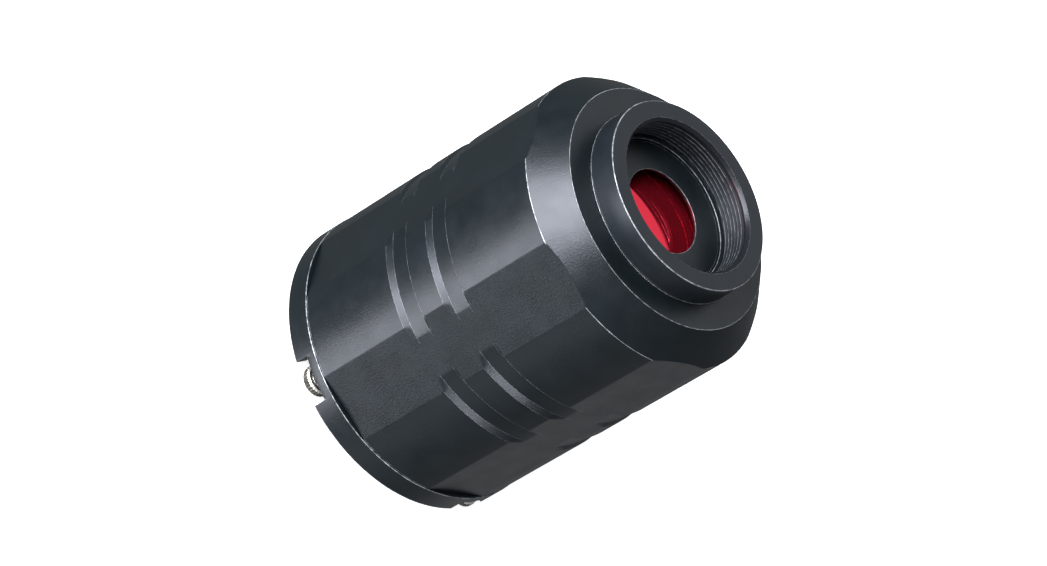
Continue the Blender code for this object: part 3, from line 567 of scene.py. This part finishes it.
def barrel_angles():
    """Angles round the barrel, closest together where a flat meets the cylinder or a groove's floor."""
    edges = [math.degrees(math.acos(FLAT_DISTANCE / BARREL_R))]
    edges.append(math.degrees(math.acos(FLAT_DISTANCE / (BARREL_R - GROOVE_DEPTH))))
    marks = set(np.arange(0, HALF_SECTOR + 0.01, ANGLE_STEP).round(3))
    for edge in edges:
        marks = {mark for mark in marks if abs(mark - edge) > 0.9}
        marks |= {round(edge + step, 3) for step in (-0.8, -0.4, -0.18, 0, 0.18, 0.4, 0.8)}
    half = sorted(marks)
    sector = half + [2 * HALF_SECTOR - mark for mark in reversed(half) if 0 < mark < HALF_SECTOR]
    angles = [2 * HALF_SECTOR * turn + mark for turn in range(FLAT_COUNT) for mark in sector]
    return np.radians(sorted(angles))


def soft_lower(first, second, blend):
    """The lower of two values, rounded where they meet."""
    share = np.maximum(blend - np.abs(first - second), 0) / blend
    return np.minimum(first, second) - share * share * blend / 4


def with_flats(radii, heights, angles):
    middle = np.round(angles / (np.pi / 3)) * (np.pi / 3)
    chamfer = np.maximum(BARREL_BASE + FLAT_CHAMFER - heights, 0)
    flat = (FLAT_DISTANCE - chamfer) / np.cos(angles - middle)
    return soft_lower(radii, flat, EDGE_BLEND)


def barrel_outline():
    outer = [(BARREL_R, BARREL_BASE, 0.00025)]
    for start in GROOVE_Z:
        floor_r = BARREL_R - GROOVE_DEPTH
        outer.append((BARREL_R, start, 0.0001))
        outer.append((floor_r, start + GROOVE_RAMP, 0.0001))
        outer.append((floor_r, start + GROOVE_W - GROOVE_DEPTH, 0.00008))
        outer.append((BARREL_R, start + GROOVE_W, 0.00008))
    outer.append((BARREL_R, SHOULDER_Z, 0.00012))
    for step in range(1, CONE_ROWS):
        share = step / CONE_ROWS * CONE_ROWS_SHARE
        radius = BARREL_R + (FACE_R - BARREL_R) * share
        outer.append((radius, SHOULDER_Z + (FACE_Z - SHOULDER_Z) * share, 0))
    outer.append((FACE_R, FACE_Z, 0.0002))
    bore = SPIGOT_R + GAP
    lip = FLOOR_Z - APERTURE_LIP
    inner = [(bore, FACE_Z, 0.0001), (bore, SPIGOT_Z - 0.0002, 0.0001), (BOSS_R, SPIGOT_Z - 0.0002, 0.0001)]
    inner += [(BOSS_R, FLOOR_Z, 0.00015), (APERTURE_R, FLOOR_Z, 0.0001), (APERTURE_R + 0.0002, lip, 0.00005)]
    inner += [(WELL_R, lip, 0.0002), (WELL_R, SEAT_Z, 0.0001), (SEAT_R, SEAT_Z, 0.0001)]
    inner += [(SEAT_R, FRONT_WALL_Z, 0.0001), (CHAMBER_R, FRONT_WALL_Z, 0.0002)]
    inner += [(CHAMBER_R, LEDGE_Z, 0.0001), (BAY_R, LEDGE_Z, 0.0001), (BAY_R, BARREL_BASE, 0.0001)]
    return supported(rounded(outer + inner))


def make_housing(finish, worn_and_highlight):
    outline = barrel_outline()
    angles = barrel_angles()
    mesh = turned_mesh("housing_shell", outline, angles, radius_at=with_flats, sharp=20)
    shell = show("housing_shell", mesh, finish, worn_and_highlight)
    wear_and_highlight_edges(shell, outline, len(angles), HOUSING_EDGE_ROW)
    return place(shell, "camera", "anodised", "main_housing")


# ---- nose ring ----

def thread_radius(share):
    """Radius of the thread at a share of its pitch: crest, flank, root, flank."""
    share = share % 1.0
    if share < CREST_END:
        return CREST_R
    if share < ROOT_START:
        return CREST_R + (ROOT_R - CREST_R) * (share - CREST_END) / FLANK
    if share < ROOT_END:
        return ROOT_R
    return ROOT_R + (CREST_R - ROOT_R) * (share - ROOT_END) / FLANK


def nose_profile():
    """Everything of the ring but its thread, from the top of the thread round to its bottom."""
    top_of_thread = THREAD_LOW + (THREAD_TURNS + 1) * PITCH
    outline = [
        (CREST_R, top_of_thread + 0.00004, 0),
        (LEAD_R, NOSE_TOP, 0.00005),
        (NOSE_R, NOSE_TOP, 0.00022),
        (NOSE_R, FACE_Z + 0.0006, 0),
        (NOSE_R + 0.00005, FACE_Z + 0.00045, 0),
        (NOSE_R + NOSE_FOOT, FACE_Z + 0.0004, 0.00008),
        (NOSE_R + NOSE_FOOT, FACE_Z + HAIRLINE, 0.00005),
        (SPIGOT_R, FACE_Z + HAIRLINE, 0),
        (SPIGOT_R, SPIGOT_Z, 0.0001),
        (LEDGE_R, SPIGOT_Z, 0.0001),
        (LEDGE_R, FLOOR_Z + 0.0005, 0.00012),
        (ROOT_R, FLOOR_Z + 0.0006, 0.00010),
        (ROOT_R, THREAD_LOW - 0.0001, 0),
    ]
    return supported(rounded(outline))[:-2]


def make_nose(finish, worn_and_highlight, lead_in):
    """Ring with a real helical thread. The thread's skin is a slanted grid that runs out into smooth bores."""
    columns = NOSE_COLUMNS
    per_turn = len(THREAD_MARKS)
    rows = THREAD_TURNS * per_turn
    profile = nose_profile()
    angles = even_angles(columns) + math.radians(THREAD_START)
    last_row = (len(profile) - 1) * columns    # first point of the last row, and the faces before the thread's
    points = []
    for radius, z in profile:
        points += [(radius * math.cos(angle), radius * math.sin(angle), z) for angle in angles]
    faces = []
    for row in range(len(profile) - 1):
        for column in range(columns):
            after = (column + 1) % columns
            low = row * columns
            faces.append([low + column, low + after, low + columns + after, low + columns + column])
    grid = {}
    for row in range(rows + per_turn + 1):
        turns = row // per_turn + THREAD_MARKS[row % per_turn]
        for column in range(columns if row <= rows else 1):
            angle = angles[column]
            z = THREAD_LOW + PITCH * (turns + column / columns)
            radius = thread_radius(turns)
            grid[row, column] = len(points)
            points.append((radius * math.cos(angle), radius * math.sin(angle), z))
    for row in range(rows + 1):
        grid[row, columns] = grid[row + per_turn, 0]
    for row in range(rows):
        for column in range(columns):
            corners = ((row, column), (row, column + 1), (row + 1, column + 1), (row + 1, column))
            faces.append([grid[corner] for corner in corners])
    for start, row in ((last_row, 0), (0, rows)):
        for column in range(columns):
            after = (column + 1) % columns
            faces.append([start + column, start + after, grid[row, column + 1], grid[row, column]])
        faces.append([start] + [grid[row + step, 0] for step in range(per_turn + 1)])
    mesh = mesh_from("nose_thread_ring", points, faces, sharp=24)
    ring = show("nose_thread_ring", mesh, finish, worn_and_highlight, lead_in)
    wear_and_highlight_edges(ring, profile, columns, NOSE_EDGE_ROW)
    # Thread crests get the lighter edge finish: partly wear, partly painted highlight lines along the thread.
    for face in ring.data.polygons[last_row:last_row + rows * columns]:
        if (face.index - last_row) // columns % per_turn == 0:
            face.material_index = 1
    for face in ring.data.polygons[:columns]:
        face.material_index = 2
    return place(ring, "camera", "nose", "nose_ring")


# ---- window ----

def make_window(finish):
    outline = rounded([
        (0.0001, GLASS_LOW.z, 0),
        (GLASS_HIGH.x, GLASS_LOW.z, 0.00015),
        (GLASS_HIGH.x, GLASS_HIGH.z, 0.00015),
        (0.0001, GLASS_HIGH.z, 0),
    ])
    mesh = turned_mesh("coated_window", outline, even_angles(128), closed=False, sharp=40)
    return place(show("coated_window", mesh, finish), "camera", "window", "window_glass")


# ---- rear cover ----

def make_cover(finish, worn_and_highlight):
    outline = rounded([
        (0.0001, SKIRT_H, 0),
        (COVER_R - SKIRT_WALL, SKIRT_H, 0.0003),
        (COVER_R - SKIRT_WALL, 0, 0.0003),
        (COVER_R, 0, 0.00045),
        (COVER_R, COVER_H, 0.0002),
        (0.0001, COVER_H, 0),
    ])
    outline = supported(outline)[:-2]
    mesh = turned_mesh("rear_cover_shell", outline, even_angles(240), closed=False, sharp=35)
    cover = show("rear_cover_shell", mesh, finish, worn_and_highlight)
    notches = bmesh.new()
    for angle in DIAGONALS:
        low = (COVER_R - SKIRT_WALL - NOTCH_REACH, -NOTCH_W / 2, -PAST)
        add_box(notches, low, (COVER_R + NOTCH_REACH, NOTCH_W / 2, SKIRT_H), turn=angle)
    cut(cover, tool_from(notches))
    holes = bmesh.new()
    low = SKIRT_H - PAST
    high = COVER_H + PAST
    for inner, outer in GRILLE_RINGS:
        trim_in = math.degrees(SPOKE_W / 2 / inner)
        trim_out = math.degrees(SPOKE_W / 2 / outer)
        for start in (0, 90, 180, 270):
            points = arc(inner, start + trim_in, start + 90 - trim_in, 14)
            add_prism(holes, points + arc(outer, start + 90 - trim_out, start + trim_out, 14), low, high)
    for number, angle in enumerate(DIAGONALS, 1):
        points = arc(EXHAUST[0], angle - EXHAUST_HALF_ANGLE, angle + EXHAUST_HALF_ANGLE, 12)
        points += arc(EXHAUST[1], angle + EXHAUST_HALF_ANGLE, angle - EXHAUST_HALF_ANGLE, 12)
        add_prism(holes, points, low, high)
        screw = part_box(f"fan_screw_{number}")
        middle = (screw[0] + screw[1]) / 2
        reach = (screw[1].x - screw[0].x) / 2 + GAP
        points = [(middle.x + x, middle.y + y) for x, y in arc(reach, 0, 345, 23)]
        add_prism(holes, points, low, SKIRT_H + FAN_SCREW_SINK)
        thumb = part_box(f"thumbscrew_{number}")
        middle = (thumb[0] + thumb[1]) / 2
        points = [(middle.x + x, middle.y + y) for x, y in arc(THUMB_SHANK_R + GAP, 0, 345, 23)]
        add_prism(holes, points, low, high)
    for node in ("usb3_b_socket", "power_socket", "usb_hub_socket", "guide_port"):
        start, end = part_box(node)
        add_box(holes, (start.x - GAP, start.y - GAP, low), (end.x + GAP, end.y + GAP, high))
    cut(cover, tool_from(holes))
    soften(cover, SOFT_EDGE, 2, 50)
    settle(cover)
    cover.data.shade_smooth()
    cover.data.set_sharp_from_angle(angle=math.radians(30))
    # The rim's chamfer faces get the lighter edge finish: partly wear, partly a painted highlight line.
    for face in cover.data.polygons:
        rim = math.hypot(face.center.x, face.center.y) > COVER_R - COVER_RIM
        face.material_index = int(rim and face.area < 0.0000004 and 0.15 < abs(face.normal.z) < 0.98)
    return place(cover, "camera", "anodised", "rear_cover")


# ---- thumbscrews ----

def knurled(radii, heights, angles):
    """Ridges on the side of a head, fading out on its edges."""
    ridge = np.abs(((angles * KNURL_COUNT / (2 * np.pi)) % 1.0) - 0.5) * 2
    side = np.clip((radii - (radii.max() - 0.0002)) / 0.00015, 0, 1)
    return radii - KNURL_DEPTH * ridge * side


def make_thumbscrews(finish):
    for number, angle in enumerate(DIAGONALS, 1):
        low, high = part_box(f"thumbscrew_{number}")
        middle = (low + high) / 2
        head_r = (high.x - low.x) / 2
        foot = low.z
        head_top = foot + HEAD_H
        outline = rounded([
            (0.0001, foot, 0),
            (head_r - HEAD_FOOT_CHAMFER, foot, 0.0001),
            (head_r, foot + HEAD_FOOT_CHAMFER, 0.00008),
            (head_r, head_top - HEAD_CHAMFER_H, 0.00005),
            (head_r - HEAD_CHAMFER_W, head_top, 0.00005),
            (THUMB_COLLAR_R, head_top, 0.0001),
            (THUMB_COLLAR_R, SKIRT_H - GAP, 0.0001),
            (THUMB_SHANK_R, SKIRT_H - GAP, 0.0001),
            (THUMB_SHANK_R, high.z, 0.0003),
            (0.0001, high.z, 0),
        ])
        mesh = turned_mesh("head", outline, even_angles(KNURL_COUNT * 4), closed=False, radius_at=knurled)
        knob = show(f"thumbscrew_knob_{number}", mesh, finish["knurled"], finish["polished"])
        hexagon = bmesh.new()
        add_prism(hexagon, arc(HEX_R, 0, 300, 5), foot - PAST, foot + HEX_DEPTH)
        cut(knob, tool_from(hexagon))
        for face in knob.data.polygons:
            slanted = 0.2 < face.normal.z < 0.95 and head_top - 0.0007 < face.center.z < head_top + 0.0001
            face.material_index = int(slanted)
        knob.data.shade_smooth()
        knob.data.set_sharp_from_angle(angle=math.radians(30))
        knob.location = (middle.x, middle.y, 0)
        place(knob, f"screw_{number}", "knurled", f"thumbscrew_{number}")


# ---- carried-over nodes ----

def dress_nodes(finish):
    """Gives every node that stays its finish, and softens its edges."""
    for part in frame["record"]["subparts"]:
        node = frame["nodes"][part["node"]]
        if node.hide_render:
            continue
        node.data.materials.clear()
        node.data.materials.append(finish[part["material_slot"]])
        soften(node, SOFT_EDGE, 2, 40)


# ---- surroundings ----

def make_floor():
    surface = Surface("pale_floor", (0.90, 0.90, 0.90), 0.6)
    surface.vary_colour(0.4, 0.01)
    surface.shader.inputs["Emission Color"].default_value = (1, 1, 1, 1)
    surface.shader.inputs["Emission Strength"].default_value = FLOOR_GLOW
    reach = FLOOR_SIZE
    corners = [(-reach, -reach, 0), (reach, -reach, 0), (reach, reach, 0), (-reach, reach, 0)]
    mesh = bpy.data.meshes.new("floor")
    mesh.from_pydata(corners, [], [[0, 1, 2, 3]])
    floor = show("floor", mesh, surface.material)
    floor.location.z = -FLOOR_DROP
    floor.visible_glossy = False
    floor.visible_diffuse = False
    floor.visible_shadow = False


def direction(azimuth, elevation):
    flat = math.cos(math.radians(elevation))
    return polar(flat, azimuth, math.sin(math.radians(elevation)))


def add_softbox(name, azimuth, elevation, distance, width, height, radiance):
    light = bpy.data.lights.new(name, "AREA")
    light.shape = "RECTANGLE"
    light.size = width
    light.size_y = height
    light.energy = radiance * width * height * math.pi
    lamp = bpy.data.objects.new(name, light)
    bpy.context.scene.collection.objects.link(lamp)
    towards = direction(azimuth, elevation)
    lamp.location = AIM + towards * distance
    lamp.rotation_euler = towards.to_track_quat("Z", "Y").to_euler()
    lamp.visible_camera = False


def make_light():
    """A dim room that looks white to the camera, lit by the softboxes."""
    world = bpy.data.worlds.new("studio")
    bpy.context.scene.world = world
    world.use_nodes = True
    nodes = world.node_tree.nodes
    links = world.node_tree.links
    nodes["Background"].inputs["Color"].default_value = (0.92, 0.97, 1.0, 1)
    seen = nodes.new("ShaderNodeLightPath").outputs["Is Camera Ray"]
    strength = nodes.new("ShaderNodeMapRange")
    strength.inputs["To Min"].default_value = ROOM_LIGHT
    strength.inputs["To Max"].default_value = 1.0
    links.new(seen, strength.inputs["Value"])
    links.new(strength.outputs["Result"], nodes["Background"].inputs["Strength"])
    for box in SOFTBOXES:
        add_softbox(*box)


def make_camera():
    forward = -direction(AZIMUTH + 180, ELEVATION)
    level = forward.cross(Vector((0, 0, 1))).normalized()
    right = level * math.cos(ROLL) + level.cross(forward) * math.sin(ROLL)
    up = right.cross(forward)
    camera = bpy.data.objects.new("camera", bpy.data.cameras.new("camera"))
    bpy.context.scene.collection.objects.link(camera)
    camera.data.lens = LENS
    camera.data.sensor_width = 36
    turn = Matrix((right, up, -forward)).transposed().to_4x4()
    camera.matrix_world = Matrix.Translation(AIM - forward * DISTANCE) @ turn
    bpy.context.scene.camera = camera
    bpy.context.scene.view_settings.view_transform = "Standard"


make_camera()
finishes = make_materials()
make_housing(finishes["anodised"], finishes["worn_and_highlight"])
make_nose(finishes["nose"], finishes["worn_and_highlight"], finishes["lead_in"])
make_window(finishes["window"])
make_cover(finishes["anodised"], finishes["worn_and_highlight"])
make_thumbscrews(finishes)
dress_nodes(finishes)
make_floor()
make_light()
